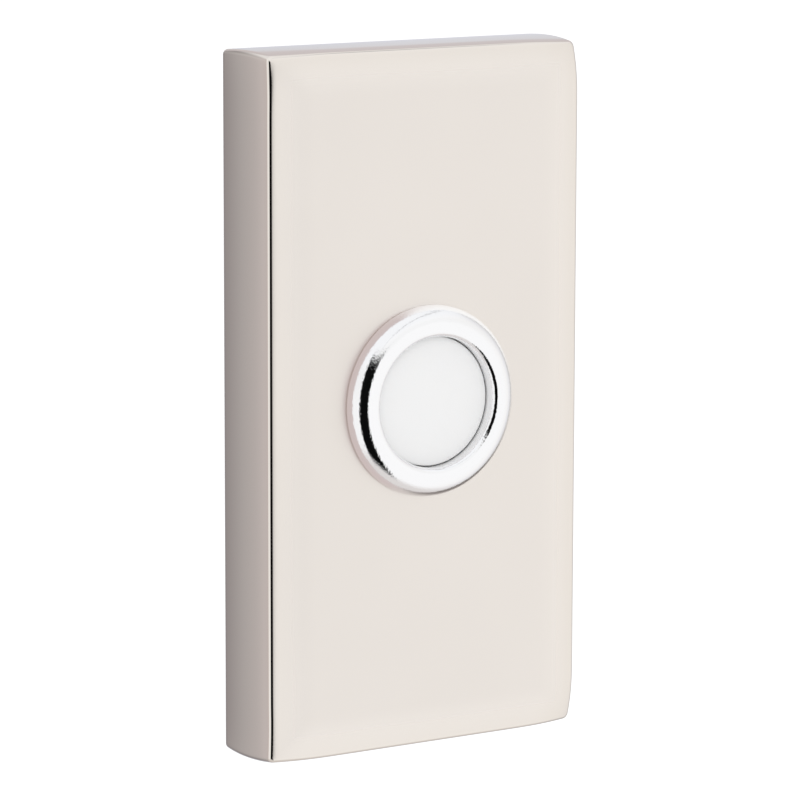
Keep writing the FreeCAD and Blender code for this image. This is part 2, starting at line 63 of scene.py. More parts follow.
# Cover plate
# A nickel-plated casting: a shallow shell whose four sides arc outwards and meet in small round
# corners. The face is flat in the middle, falls softly to its edges and has a fine satin finish,
# while the rounded front edges and the sides are polished bright.
plate_low, plate_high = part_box("cover_plate")
SIDE_BULGE = 0.3 * MM
HALF_W = plate_high.x - SIDE_BULGE
HALF_H = plate_high.z - SIDE_BULGE
FACE_Y = plate_low.y
EDGE_Y = FACE_Y + 0.5 * MM
FACE_WALL = 1.6 * MM
SIDE_WALL = 1.7 * MM
CROWN_WIDTH = 5.6 * MM
EDGE_FALL = 0.5 * MM
CORNER_FALL = 0.5 / MM
END_WIDTH = 8.4 * MM
END_DROP_X = 0.38 * MM
END_DROP_Z = 0.25 * MM
END_ROWS = 18
SIDE_ROWS = 12
LAST_ROW_Y = -8.0 * MM
CORNER_R = 0.6 * MM
CORNER_SEGMENTS = 10
FRONT_EDGE_R = 0.52 * MM
FRONT_TURN = math.radians(73)
BACK_EDGE_R = 0.3 * MM
EDGE_SEGMENTS = 6
BACK_SEGMENTS = 3
RIM_SLACK = 0.05 * MM
NEARLY = 0.01 * MM
BARREL_HOLE_R = 9.6 * MM
GRUB_HOLE_R = 1.5 * MM
GRUB_Y = -4.5 * MM


def edit_new(add, **shape):
    """Adds a primitive with nothing else selected, and opens it in edit mode, all selected."""
    if bpy.context.mode != "OBJECT":
        bpy.ops.object.mode_set(mode="OBJECT")
    bpy.ops.object.select_all(action="DESELECT")
    add(**shape)
    piece = bpy.context.object
    bpy.ops.object.mode_set(mode="EDIT")
    bpy.ops.mesh.select_all(action="SELECT")
    return piece


def close_edit(piece, name, smooth_degrees=30):
    """Leaves edit mode, names the piece and smooths all but its sharp edges."""
    bpy.ops.object.mode_set(mode="OBJECT")
    piece.name = piece.data.name = name
    bpy.ops.object.shade_smooth_by_angle(angle=math.radians(smooth_degrees))
    return piece


def pick_edges(piece, wanted):
    """Selects the edges whose two ends both satisfy wanted."""
    bpy.ops.mesh.select_all(action="DESELECT")
    bpy.ops.mesh.select_mode(type="EDGE")
    bpy.ops.object.mode_set(mode="OBJECT")
    points = piece.data.vertices
    for edge in piece.data.edges:
        edge.select = wanted(points[edge.vertices[0]].co, points[edge.vertices[1]].co)
    bpy.ops.object.mode_set(mode="EDIT")


def box_piece(name, low, high):
    """A block between two corners, left in edit mode with all of it selected."""
    piece = edit_new(bpy.ops.mesh.primitive_cube_add, size=2)
    low, high = Vector(low), Vector(high)
    bpy.ops.transform.resize(value=(high - low) / 2)
    bpy.ops.transform.translate(value=(high + low) / 2)
    piece.name = name
    return piece


def combine(piece, tool, operation):
    """Cuts, joins or keeps common with the tool, which is then removed."""
    if bpy.context.mode != "OBJECT":
        bpy.ops.object.mode_set(mode="OBJECT")
    bpy.ops.object.select_all(action="DESELECT")
    bpy.context.view_layer.objects.active = piece
    piece.select_set(True)
    change = piece.modifiers.new("combine", "BOOLEAN")
    change.operation = operation
    change.solver = "EXACT"
    change.object = tool
    bpy.ops.object.modifier_apply(modifier=change.name)
    bpy.data.objects.remove(tool)


def crown_fall(distance):
    """How far the face has fallen at this distance outwards from its flat middle."""
    return EDGE_FALL * (max(distance, 0) / CROWN_WIDTH) ** 2


def side_reach(y):
    """How far the arc of a side stands out past its straight edges at this depth."""
    half_depth = -EDGE_Y / 2
    radius = (half_depth ** 2 + SIDE_BULGE ** 2) / (2 * SIDE_BULGE)
    return SIDE_BULGE - radius + math.sqrt(radius ** 2 - (y + half_depth) ** 2)


cover = box_piece("cover_shell", (-HALF_W, FACE_Y, -HALF_H), (HALF_W, 0, HALF_H))
pick_edges(cover, lambda a, b: abs(a.y - b.y) > MM)
bpy.ops.mesh.bevel(offset=CORNER_R, segments=CORNER_SEGMENTS, affect="EDGES")
for row in range(1, SIDE_ROWS + 1):
    bpy.ops.mesh.select_all(action="SELECT")
    bpy.ops.mesh.bisect(plane_co=(0, LAST_ROW_Y * row / SIDE_ROWS, 0), plane_no=(0, 1, 0))
for row in range(END_ROWS):
    inset = END_WIDTH * (1 - row / END_ROWS)
    if inset < CORNER_R:
        break
    for side in (-1, 1):
        bpy.ops.mesh.select_all(action="SELECT")
        bpy.ops.mesh.bisect(plane_co=(side * (HALF_W - inset), 0, 0), plane_no=(1, 0, 0))
        bpy.ops.mesh.select_all(action="SELECT")
        bpy.ops.mesh.bisect(plane_co=(0, 0, side * (HALF_H - inset)), plane_no=(0, 0, 1))
bpy.ops.object.mode_set(mode="OBJECT")
for vertex in cover.data.vertices:
    x, y, z = vertex.co
    if y < FACE_Y + NEARLY:
        x_fall = crown_fall(abs(x) - HALF_W + CROWN_WIDTH)
        z_fall = crown_fall(abs(z) - HALF_H + CROWN_WIDTH)
        y += x_fall + z_fall + CORNER_FALL * x_fall * z_fall
    reach = side_reach(y)
    x_end = max(abs(x) - HALF_W + END_WIDTH, 0) / END_WIDTH
    z_end = max(abs(z) - HALF_H + END_WIDTH, 0) / END_WIDTH
    to_front = min(y / EDGE_Y, 1)
    vertex.co = (x * (1 + (reach - END_DROP_X * to_front * z_end ** 3) / HALF_W), y,
                 z * (1 + (reach - END_DROP_Z * to_front * x_end ** 2) / HALF_H))
bpy.ops.object.mode_set(mode="EDIT")


def on_rim(point):
    """Whether a point lies on the plate's outline, seen from the front."""
    x_past = max(abs(point.x) - HALF_W + CORNER_R + END_DROP_X, 0)
    z_past = max(abs(point.z) - HALF_H + CORNER_R + END_DROP_Z, 0)
    return math.hypot(x_past, z_past) > CORNER_R - RIM_SLACK


pick_edges(cover, lambda a, b: max(a.y, b.y) < LAST_ROW_Y - 0.5 * MM and on_rim(a) and on_rim(b)
           and on_rim((a + b) / 2))
bpy.ops.mesh.bevel(offset=FRONT_EDGE_R * math.tan(FRONT_TURN / 2), segments=EDGE_SEGMENTS,
                   affect="EDGES", miter_outer="SHARP")
pick_edges(cover, lambda a, b: min(a.y, b.y) > -NEARLY and on_rim(a) and on_rim(b))
bpy.ops.mesh.bevel(offset=BACK_EDGE_R, segments=BACK_SEGMENTS, affect="EDGES", miter_outer="SHARP")

# Inside the shell: the cavity leaves a rib over the hook tab and a boss for the grub screw
CAVITY_X = HALF_W - SIDE_WALL
CAVITY_Z = HALF_H - SIDE_WALL
CAVITY_CORNER_R = 1.5 * MM
CAVITY_SEGMENTS = 6
RIB_HALF_W = 5.5 * MM
RIB_Y = (-3.7 * MM, -2.2 * MM)
RIB_LOW = CAVITY_Z - 1.4 * MM
BOSS_HALF_W = 3.5 * MM
BOSS_BACK = -2.0 * MM
BOSS_TOP = CAVITY_Z - 1.2 * MM
cavity = box_piece("cavity", (-CAVITY_X, FACE_Y + FACE_WALL, -CAVITY_Z),
                   (CAVITY_X, MM, CAVITY_Z))
pick_edges(cavity, lambda a, b: abs(a.y - b.y) > MM)
bpy.ops.mesh.bevel(offset=CAVITY_CORNER_R, segments=CAVITY_SEGMENTS, affect="EDGES")
rib = box_piece("rib", (-RIB_HALF_W, RIB_Y[0], RIB_LOW), (RIB_HALF_W, RIB_Y[1], HALF_H))
combine(cavity, rib, "DIFFERENCE")
boss = box_piece("boss", (-BOSS_HALF_W, FACE_Y, -HALF_H), (BOSS_HALF_W, BOSS_BACK, -BOSS_TOP))
combine(cavity, boss, "DIFFERENCE")
combine(cover, cavity, "DIFFERENCE")
hole = edit_new(bpy.ops.mesh.primitive_cylinder_add, vertices=128, radius=BARREL_HOLE_R,
                depth=30 * MM, rotation=(math.pi / 2, 0, 0))
combine(cover, hole, "DIFFERENCE")
hole = edit_new(bpy.ops.mesh.primitive_cylinder_add, vertices=32, radius=GRUB_HOLE_R,
                depth=6 * MM, location=(0, GRUB_Y, -HALF_H))
combine(cover, hole, "DIFFERENCE")
bpy.ops.object.mode_set(mode="EDIT")
close_edit(cover, "cover_shell", 35)


class Link:
    """A shader socket that takes part in plain Python sums."""

    def __init__(self, tree, socket=None):
        self.tree = tree
        self.socket = socket

    def node(self, kind, settings=None, values=None, out=0):
        """Adds a node: its settings come first, then the values or links of its sockets."""
        made = self.tree.nodes.new("ShaderNode" + kind)
        for key, value in (settings or {}).items():
            if key == "stops":
                ramp = made.color_ramp.elements
                while len(ramp) < len(value):
                    ramp.new(1.0)
                for stop, (place, colour) in zip(ramp, value):
                    stop.position = place
                    stop.color = (*colour, 1)
            else:
                setattr(made, key, value)
        for key, value in (values or {}).items():
            if isinstance(value, Link):
                self.tree.links.new(value.socket, made.inputs[key])
            else:
                made.inputs[key].default_value = value
        return Link(self.tree, made.outputs[out])

    def maths(self, operation, *values):
        return self.node("Math", {"operation": operation}, dict(enumerate(values)))

    def __add__(self, other):
        return self.maths("ADD", self, other)

    def __radd__(self, other):
        return self.maths("ADD", other, self)

    def __sub__(self, other):
        return self.maths("SUBTRACT", self, other)

    def __rsub__(self, other):
        return self.maths("SUBTRACT", other, self)

    def __mul__(self, other):
        return self.maths("MULTIPLY", self, other)

    def __rmul__(self, other):
        return self.maths("MULTIPLY", other, self)

    def __neg__(self):
        return self.maths("MULTIPLY", self, -1)

    def __abs__(self):
        return self.maths("ABSOLUTE", self)

    def step(self, start, end):
        """0 before start and 1 past end, with a soft change between them."""
        return self.node("MapRange", {"interpolation_type": "SMOOTHSTEP"},
                         {"Value": self, "From Min": start, "From Max": end})


def finish_of(name, colour, metallic, roughness):
    """A new material and the tools to dress it: its shader, a start for links and where it is."""
    material = bpy.data.materials.new(name)
    material.use_nodes = True
    tree = material.node_tree
    shader = tree.nodes["Principled BSDF"]
    shader.inputs["Base Color"].default_value = (*colour, 1)
    shader.inputs["Metallic"].default_value = metallic
    shader.inputs["Roughness"].default_value = roughness
    start = Link(tree)
    place = start.node("TexCoord", out=3)
    return material, shader, start, place


def feed(shader, socket, link):
    """Lets a link drive one socket of the shader."""
    link.tree.links.new(link.socket, shader.inputs[socket])


def tint(start, factor, first, second):
    """One colour going over to another by a factor."""
    return start.node("Mix", {"data_type": "RGBA"},
                      {0: factor, 6: (*first, 1), 7: (*second, 1)}, out=2)


def grain(start, place, scale, detail=2.0, stretch=(1, 1, 1)):
    """Noise at so many grains a metre, stretched along an axis where asked."""
    placed = start.node("Mapping", values={"Vector": place, "Scale": stretch})
    return start.node("TexNoise", values={"Vector": placed, "Scale": scale, "Detail": detail})


def bump(start, height, distance, strength=1.0):
    """A normal that leans with a height, for relief of this depth."""
    return start.node("Bump",
                      values={"Height": height, "Distance": distance, "Strength": strength})


NICKEL = (0.84, 0.792, 0.742)
# painted shade: a darker nickel for the plate's edges stands in for their darker reflections
NICKEL_EDGE_SHADE = (0.81, 0.76, 0.705)
SATIN_ROUGHNESS = 0.36
EDGE_ROUGHNESS = 0.16
POLISHED_ROUGHNESS = 0.04
POLISHED_RIM = (0.4 * MM, 0.65 * MM)
FACE_DEPTH = (8.2 * MM, 8.6 * MM)
SATIN_FADE = 5 * MM
EDGE_SHADE_FADE = 4 * MM
CLOUDING = 0.06
nickel, shader, start, place = finish_of("polished_nickel", NICKEL, 1.0, SATIN_ROUGHNESS)
split = start.node("SeparateXYZ", values={"Vector": place})
x_place = Link(split.tree, split.socket.node.outputs[0])
y_place = Link(split.tree, split.socket.node.outputs[1])
z_place = Link(split.tree, split.socket.node.outputs[2])
to_edge = start.maths("MINIMUM", HALF_W - abs(x_place), HALF_H - abs(z_place))
on_face = to_edge.step(*POLISHED_RIM) * (-y_place).step(*FACE_DEPTH)
cloud = grain(start, place, 60, 3)
fine = grain(start, place, 9000, 2)
satin = EDGE_ROUGHNESS + to_edge.step(0, SATIN_FADE) * (SATIN_ROUGHNESS - EDGE_ROUGHNESS)
satin = satin + (cloud - 0.5) * CLOUDING
feed(shader, "Roughness", POLISHED_ROUGHNESS + on_face * (satin - POLISHED_ROUGHNESS))
# Painted shade: the base colour darkens towards the edges, standing in for the darker light that
# the falling face mirrors there
feed(shader, "Base Color", tint(start, to_edge.step(0, EDGE_SHADE_FADE), NICKEL_EDGE_SHADE, NICKEL))
feed(shader, "Normal", bump(start, fine * on_face, 0.001 * MM, 0.5))
cover.data.materials.clear()
cover.data.materials.append(nickel)
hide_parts("cover_plate")
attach(cover, "base")

# Bezel
# The head, its inner lip and the long barrel are turned from one brass bar and chromed. The
# outer wall stands straight on the face, the crown rolls over in a wide round and the mouth
# drops in a tighter one. Behind the face the barrel carries a fine 1 mm thread.
bezel_low, bezel_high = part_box("bezel_body")
BEZEL_R = bezel_high.x
CREST_Y = bezel_low.y
OUTER_ROUND = 2.0 * MM
INNER_ROUND = 0.7 * MM
FOOT_CHAMFER = 0.15 * MM
LIP_R = 7.5 * MM
LIP_BACK_Y = FACE_Y + 0.2 * MM
BORE_R = 8.1 * MM
THREAD_R = 9.5 * MM
THREAD_DEPTH = 0.45 * MM
THREAD_PITCH = 1.0 * MM
THREAD_START_Y = -7.6 * MM
THREAD_STOP = 0.2 * MM
BARREL_END_Y = bezel_high.y
RING_STEPS = 192
WELD = 0.001 * MM


class Profile:
    """A turning profile drawn point by point: x is the radius and y runs along the axis."""

    def __init__(self, x, y):
        self.piece = edit_new(bpy.ops.mesh.primitive_plane_add, size=MM)
        bpy.ops.mesh.select_mode(type="VERT")
        bpy.ops.mesh.merge(type="CENTER")
        bpy.ops.transform.translate(value=(x, y, 0))
        self.x, self.y = x, y

    def line(self, x, y):
        bpy.ops.mesh.extrude_region_move(
            TRANSFORM_OT_translate={"value": (x - self.x, y - self.y, 0)})
        self.x, self.y = x, y

    def arc(self, centre, degrees, steps):
        """Turns the pen about a centre, anticlockwise where degrees is positive."""
        angle = math.radians(degrees)
        bpy.ops.mesh.spin(steps=steps, angle=-angle, center=(*centre, 0), axis=(0, 0, 1))
        turned = Matrix.Rotation(angle, 2) @ Vector((self.x - centre[0], self.y - centre[1]))
        self.x, self.y = centre[0] + turned.x, centre[1] + turned.y

    def turn(self, steps):
        """Spins the profile about the Y axis into a closed skin."""
        bpy.ops.mesh.select_all(action="SELECT")
        bpy.ops.mesh.spin(steps=steps, angle=2 * math.pi, center=(0, 0, 0), axis=(0, 1, 0))
        bpy.ops.mesh.select_all(action="SELECT")
        bpy.ops.mesh.remove_doubles(threshold=WELD)
        bpy.ops.mesh.normals_make_consistent(inside=False)
        return self.piece


pen = Profile(THREAD_R, FACE_Y)
pen.line(BEZEL_R - FOOT_CHAMFER, FACE_Y)
pen.line(BEZEL_R, FACE_Y - FOOT_CHAMFER)
pen.line(BEZEL_R, CREST_Y + OUTER_ROUND)
pen.arc((BEZEL_R - OUTER_ROUND, CREST_Y + OUTER_ROUND), -90, 28)
pen.line(LIP_R + INNER_ROUND, CREST_Y)
pen.arc((LIP_R + INNER_ROUND, CREST_Y + INNER_ROUND), -90, 20)
pen.line(LIP_R, LIP_BACK_Y)
pen.line(BORE_R, LIP_BACK_Y)
pen.line(BORE_R, BARREL_END_Y)
pen.line(THREAD_R - THREAD_DEPTH, BARREL_END_Y)
pen.line(THREAD_R - THREAD_DEPTH, THREAD_START_Y - THREAD_PITCH / 2)
pen.line(THREAD_R, THREAD_START_Y - THREAD_PITCH / 2)
pen.line(THREAD_R, FACE_Y)
bezel = close_edit(pen.turn(RING_STEPS), "bezel_ring")


def wind(piece, turns, pitch, steps):
    """Sweeps the section in edit mode along a helix about the Y axis, into one closed skin."""
    bpy.ops.object.mode_set(mode="OBJECT")
    wound = piece.modifiers.new("wound", "SCREW")
    wound.axis = "Y"
    wound.angle = turns * 2 * math.pi
    wound.screw_offset = turns * pitch
    wound.steps = wound.render_steps = int(steps * turns)
    bpy.ops.object.modifier_apply(modifier=wound.name)
    bpy.ops.object.mode_set(mode="EDIT")
    bpy.ops.mesh.select_all(action="SELECT")
    bpy.ops.mesh.remove_doubles(threshold=WELD)
    bpy.ops.mesh.normals_make_consistent(inside=False)


RIDGE_ROOT = 0.45
RIDGE_FLAT = 0.08
RIDGE_SINK = 0.05 * MM
RIDGE_STEPS = 48


def thread_ridge(name, core_r, crest_r, start_y, end_y, pitch):
    """One V-shaped ridge, rooted in a core and wound about the Y axis from start_y to end_y."""
    root_r = core_r - RIDGE_SINK
    pen = Profile(root_r, -RIDGE_ROOT * pitch)
    pen.line(crest_r, -RIDGE_FLAT * pitch)
    pen.line(crest_r, RIDGE_FLAT * pitch)
    pen.line(root_r, RIDGE_ROOT * pitch)
    pen.line(root_r, -RIDGE_ROOT * pitch)
    bpy.ops.mesh.select_all(action="SELECT")
    bpy.ops.mesh.remove_doubles(threshold=WELD)
    bpy.ops.mesh.edge_face_add()
    bpy.ops.transform.translate(value=(0, start_y + pitch / 2, 0))
    wind(pen.piece, (end_y - start_y) / pitch - 1, pitch, RIDGE_STEPS)
    return close_edit(pen.piece, name)


ridge = thread_ridge("thread", THREAD_R - THREAD_DEPTH, THREAD_R, THREAD_START_Y,
                     BARREL_END_Y - THREAD_STOP, THREAD_PITCH)


def join(*parts):
    """Joins the later parts to the first."""
    bpy.ops.object.select_all(action="DESELECT")
    for part in parts:
        part.select_set(True)
    bpy.context.view_layer.objects.active = parts[0]
    bpy.ops.object.join()


join(bezel, ridge)
CHROME = (0.90, 0.90, 0.905)
chrome, shader, start, place = finish_of("bright_chrome", CHROME, 1.0, 0.05)
speckle = grain(start, place, 5000, 1)
feed(shader, "Roughness", 0.03 + grain(start, place, 120, 2) * 0.04)
feed(shader, "Normal", bump(start, speckle, 0.016 * MM, 1.0))
bezel.data.materials.clear()
bezel.data.materials.append(chrome)
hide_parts("bezel_body")
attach(bezel, "base")

# Push button
# One moulding in satin opal plastic: a barely domed cap, the flange that stops it behind the
# lip and the skirt that slides in the barrel.
BUTTON_R = 7.45 * MM
BUTTON_Y = FACE_Y - 0.65 * MM
BUTTON_DOME = 0.12 * MM
BUTTON_EDGE_R = 0.2 * MM
BUTTON_TOP = 1.5 * MM
FLANGE_Y = FACE_Y + 0.25 * MM
FLANGE_R = 8.0 * MM
FLANGE_T = 1.2 * MM
SKIRT_R = 7.0 * MM
SKIRT_WALL = 1.0 * MM
SKIRT_END_Y = FACE_Y + 7.0 * MM
SPIGOT_R = (2.55 * MM, 1.95 * MM)
SPIGOT_H = 1.0 * MM
dome_edge = BUTTON_R - BUTTON_EDGE_R
dome_r = (dome_edge ** 2 + BUTTON_DOME ** 2) / (2 * BUTTON_DOME)
pen = Profile(0, BUTTON_Y - BUTTON_DOME)
pen.arc((0, BUTTON_Y - BUTTON_DOME + dome_r), math.degrees(math.asin(dome_edge / dome_r)), 16)
pen.arc((dome_edge, BUTTON_Y + BUTTON_EDGE_R), 90, 10)
pen.line(BUTTON_R, FLANGE_Y)
pen.line(FLANGE_R, FLANGE_Y)
pen.line(FLANGE_R, FLANGE_Y + FLANGE_T)
pen.line(SKIRT_R, FLANGE_Y + FLANGE_T)
pen.line(SKIRT_R, SKIRT_END_Y)
pen.line(SKIRT_R - SKIRT_WALL, SKIRT_END_Y)
pen.line(SKIRT_R - SKIRT_WALL, BUTTON_Y + BUTTON_TOP)
pen.line(SPIGOT_R[0], BUTTON_Y + BUTTON_TOP)
pen.line(SPIGOT_R[0], BUTTON_Y + BUTTON_TOP + SPIGOT_H)
pen.line(SPIGOT_R[1], BUTTON_Y + BUTTON_TOP + SPIGOT_H)
pen.line(SPIGOT_R[1], BUTTON_Y + BUTTON_TOP)
pen.line(0, BUTTON_Y + BUTTON_TOP)
button = close_edit(pen.turn(128), "button_cap")
OPAL = (0.88, 0.88, 0.88)
opal, shader, start, place = finish_of("opal_plastic", OPAL, 0.0, 0.38)
shader.inputs["Subsurface Weight"].default_value = 0.15
shader.inputs["Subsurface Radius"].default_value = (1.0, 0.95, 0.9)
shader.inputs["Subsurface Scale"].default_value = 0.8 * MM
feed(shader, "Roughness", 0.34 + grain(start, place, 700, 3) * 0.08)
feed(shader, "Normal", bump(start, grain(start, place, 7000, 2), 0.002 * MM, 0.4))
button.data.materials.clear()
button.data.materials.append(opal)
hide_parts("push_button")
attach(button, "button")

# Return spring
# Drawn stainless wire wound on a mandrel, with fine lines along the wire. It stands between the
# cap's spigot and the terminal base.
spring_low, spring_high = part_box("return_spring")
WIRE_R = 0.25 * MM
COIL_R = spring_high.x - WIRE_R
COIL_TURNS = 6.5
COIL_STEPS = 32
COIL_LENGTH = spring_high.y - spring_low.y
spring = edit_new(bpy.ops.mesh.primitive_circle_add, vertices=12, radius=WIRE_R, fill_type="NGON")
bpy.ops.transform.translate(value=(COIL_R, spring_low.y + WIRE_R, 0))
wind(spring, COIL_TURNS, (COIL_LENGTH - 2 * WIRE_R) / COIL_TURNS, COIL_STEPS)
close_edit(spring, "coil_spring", 40)
steel, shader, start, place = finish_of("spring_steel", (0.58, 0.58, 0.59), 1.0, 0.3)
feed(shader, "Roughness", 0.22 + grain(start, place, 900, 3) * 0.2)
feed(shader, "Normal", bump(start, grain(start, place, 2500, 2, (0.3, 1, 0.3)), 0.004 * MM, 0.5))
spring.data.materials.append(steel)
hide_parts("return_spring")
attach(spring, "base")
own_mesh(spring)

# Contact ring
# Stamped from rolled spring bronze, a little darker where the dimples rub.


def dress(material, *nodes):
    """Gives carried-over nodes their finish."""
    for node in nodes:
        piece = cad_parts[node]
        piece.data.materials.clear()
        piece.data.materials.append(material)


bronze, shader, start, place = finish_of("contact_bronze", (0.66, 0.42, 0.25), 1.0, 0.3)
rubbed = grain(start, place, 400, 3)
feed(shader, "Base Color", tint(start, rubbed, (0.6, 0.37, 0.21), (0.72, 0.48, 0.3)))
feed(shader, "Roughness", 0.22 + grain(start, place, 1500, 2, (0.1, 1, 1)) * 0.2)
dress(bronze, "contact_ring")

# Contact strips, terminal screws and cup washers
# Bent, turned and pressed brass, bright but already a little dulled by handling.
brass, shader, start, place = finish_of("bare_brass", (0.78, 0.58, 0.29), 1.0, 0.25)
dull = grain(start, place, 350, 4)
feed(shader, "Base Color", tint(start, dull, (0.68, 0.48, 0.22), (0.84, 0.66, 0.36)))
feed(shader, "Roughness", 0.16 + dull * 0.24)
feed(shader, "Normal", bump(start, grain(start, place, 4000, 2, (1, 0.2, 1)), 0.002 * MM, 0.5))
for side_name in ("left", "right"):
    dress(brass, "contact_strip_" + side_name, "terminal_screw_" + side_name,
          "cup_washer_" + side_name)

# Terminal base
# A black phenolic moulding with the faint mottle of the pressed powder.
phenolic, shader, start, place = finish_of("black_phenolic", (0.022, 0.02, 0.019), 0.0, 0.38)
mottle = grain(start, place, 500, 5)
feed(shader, "Base Color", tint(start, mottle, (0.016, 0.015, 0.014), (0.034, 0.03, 0.027)))
feed(shader, "Roughness", 0.28 + mottle * 0.25)
feed(shader, "Normal", bump(start, grain(start, place, 3000, 3), 0.006 * MM, 0.5))
dress(phenolic, "terminal_base")

# Pilot lamp, its board and resistor
# Milky cast resin on a green laminate board, with a lacquered resistor below it.
resin, shader, start, place = finish_of("lamp_resin", (0.86, 0.86, 0.8), 0.0, 0.12)
milk = grain(start, place, 300, 2)
feed(shader, "Base Color", tint(start, milk, (0.82, 0.82, 0.76), (0.9, 0.9, 0.85)))
dress(resin, "pilot_lamp")
laminate, shader, start, place = finish_of("board_laminate", (0.03, 0.16, 0.07), 0.0, 0.3)
weave = grain(start, place, 2500, 1, (1, 1, 0.3))
feed(shader, "Base Color", tint(start, weave, (0.02, 0.13, 0.05), (0.045, 0.2, 0.09)))
dress(laminate, "lamp_board")
lacquer, shader, start, place = finish_of("resistor_lacquer", (0.55, 0.4, 0.22), 0.0, 0.25)
split = start.node("SeparateXYZ", values={"Vector": place})
BANDS_PER_METRE = 4200.0
bands = split.maths("SINE", split * BANDS_PER_METRE).step(0.75, 0.85)
feed(shader, "Base Color", tint(start, bands, (0.55, 0.4, 0.22), (0.2, 0.06, 0.03)))
dress(lacquer, "lamp_resistor")

# Lock washer, nut and wall plate
# Pressed and machined steel, zinc plated: pale bluish grey, with soft patches and light scratches.
zinc, shader, start, place = finish_of("zinc_steel", (0.6, 0.61, 0.63), 1.0, 0.35)
patches = grain(start, place, 130, 4)
scratches = grain(start, place, 900, 2, (1, 1, 0.06)).step(0.6, 0.75)
feed(shader, "Base Color", tint(start, patches, (0.52, 0.53, 0.56), (0.68, 0.68, 0.69)))
feed(shader, "Roughness", 0.26 + patches * 0.22 + scratches * 0.08)
feed(shader, "Normal", bump(start, grain(start, place, 2500, 3) + scratches * 0.4, 0.004 * MM, 0.5))
dress(zinc, "lock_washer", "barrel_nut", "wall_plate")

# Wall screws
# Cross-recessed pan-head wood screws: a short plain neck in the sheet, then a coarse rolled
# thread and a gimlet point.
screw_low, screw_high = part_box("wall_screw_upper")
SCREW_Z = (screw_low.z + screw_high.z) / 2
HEAD_R = screw_high.x
HEAD_TOP = screw_low.y
HEAD_ROUND = 1.3 * MM
HEAD_SEAT = -1.2 * MM
NECK_R = 1.3 * MM
SCREW_R = 1.75 * MM
CORE_R = 1.2 * MM
SCREW_END = screw_high.y
POINT_L = 4.0 * MM
SCREW_PITCH = 1.6 * MM
CROSS_L = 3.6 * MM
CROSS_W = 0.9 * MM
CROSS_DEPTH = 1.4 * MM
CROSS_TAPER = 0.55
SCREW_THREAD_STOP = 0.6 * MM
POINT_TIP = 0.08
pen = Profile(0, HEAD_TOP)
pen.line(HEAD_R - HEAD_ROUND, HEAD_TOP)
pen.arc((HEAD_R - HEAD_ROUND, HEAD_TOP + HEAD_ROUND), 90, 10)
pen.line(HEAD_R, HEAD_SEAT)
pen.line(NECK_R, HEAD_SEAT)
pen.line(NECK_R, 0)
pen.line(CORE_R, 0.2 * SCREW_PITCH)
pen.line(CORE_R, SCREW_END - POINT_L)
pen.line(0, SCREW_END)
screw = close_edit(pen.turn(64), "wall_screw")
for across, along in ((CROSS_L, CROSS_W), (CROSS_W, CROSS_L)):
    blade = box_piece("blade", (-across / 2, HEAD_TOP - MM, -along / 2),
                      (across / 2, HEAD_TOP + CROSS_DEPTH, along / 2))
    pick_edges(blade, lambda a, b: min(a.y, b.y) > HEAD_TOP)
    bpy.ops.transform.resize(value=(CROSS_TAPER, 1, CROSS_TAPER))
    combine(screw, blade, "DIFFERENCE")
ridge = thread_ridge("screw_thread", CORE_R, SCREW_R, 0, SCREW_END - SCREW_THREAD_STOP,
                     SCREW_PITCH)
for vertex in ridge.data.vertices:
    past_core = max(vertex.co.y - (SCREW_END - POINT_L), 0)
    narrowing = max(1 - past_core / POINT_L, POINT_TIP)
    vertex.co = (vertex.co.x * narrowing, vertex.co.y, vertex.co.z * narrowing)
join(screw, ridge)
screw.data.materials.clear()
screw.data.materials.append(zinc)
for level, node in ((SCREW_Z, "wall_screw_upper"), (-SCREW_Z, "wall_screw_lower")):
    threaded = screw.copy()
    threaded.data = screw.data.copy()
    threaded.name = threaded.data.name = node.replace("wall_", "threaded_")
    threaded.data.transform(Matrix.Translation((0, 0, level)))
    bpy.context.scene.collection.objects.link(threaded)
    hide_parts(node)
    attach(threaded, "base")
bpy.data.objects.remove(screw)

# Grub screw
# A blackened socket set screw that locks the cover to the lower tab.
black_steel, shader, start, place = finish_of("dark_steel", (0.07, 0.07, 0.075), 1.0, 0.4)
feed(shader, "Roughness", 0.3 + grain(start, place, 1500, 3) * 0.2)
dress(black_steel, "grub_screw")

# Floor
# A plain white sheet well below the part. It sends the camera a little light of its own, so that
# it is white and keeps the shadow, and metal doesn't mirror it.
FLOOR_DROP = 0.15
FLOOR_SIZE = 40
FLOOR_GLOW = 0.4
bpy.ops.object.select_all(action="DESELECT")
bpy.ops.mesh.primitive_plane_add(size=FLOOR_SIZE, location=(0, 0, cad_low.z - FLOOR_DROP))
floor = bpy.context.object
floor.name = "floor"
paper, shader, start, place = finish_of("white_sheet", (0.85, 0.85, 0.85), 0.0, 0.9)
tooth = grain(start, place, 40, 2)
feed(shader, "Base Color", tint(start, tooth, (0.84, 0.84, 0.84), (0.86, 0.86, 0.86)))
to_camera = start.node("LightPath", out=0)
feed(shader, "Emission Color", tint(start, to_camera, (0, 0, 0), (FLOOR_GLOW,) * 3))
shader.inputs["Emission Strength"].default_value = 1.0
floor.data.materials.append(paper)
floor.visible_glossy = False

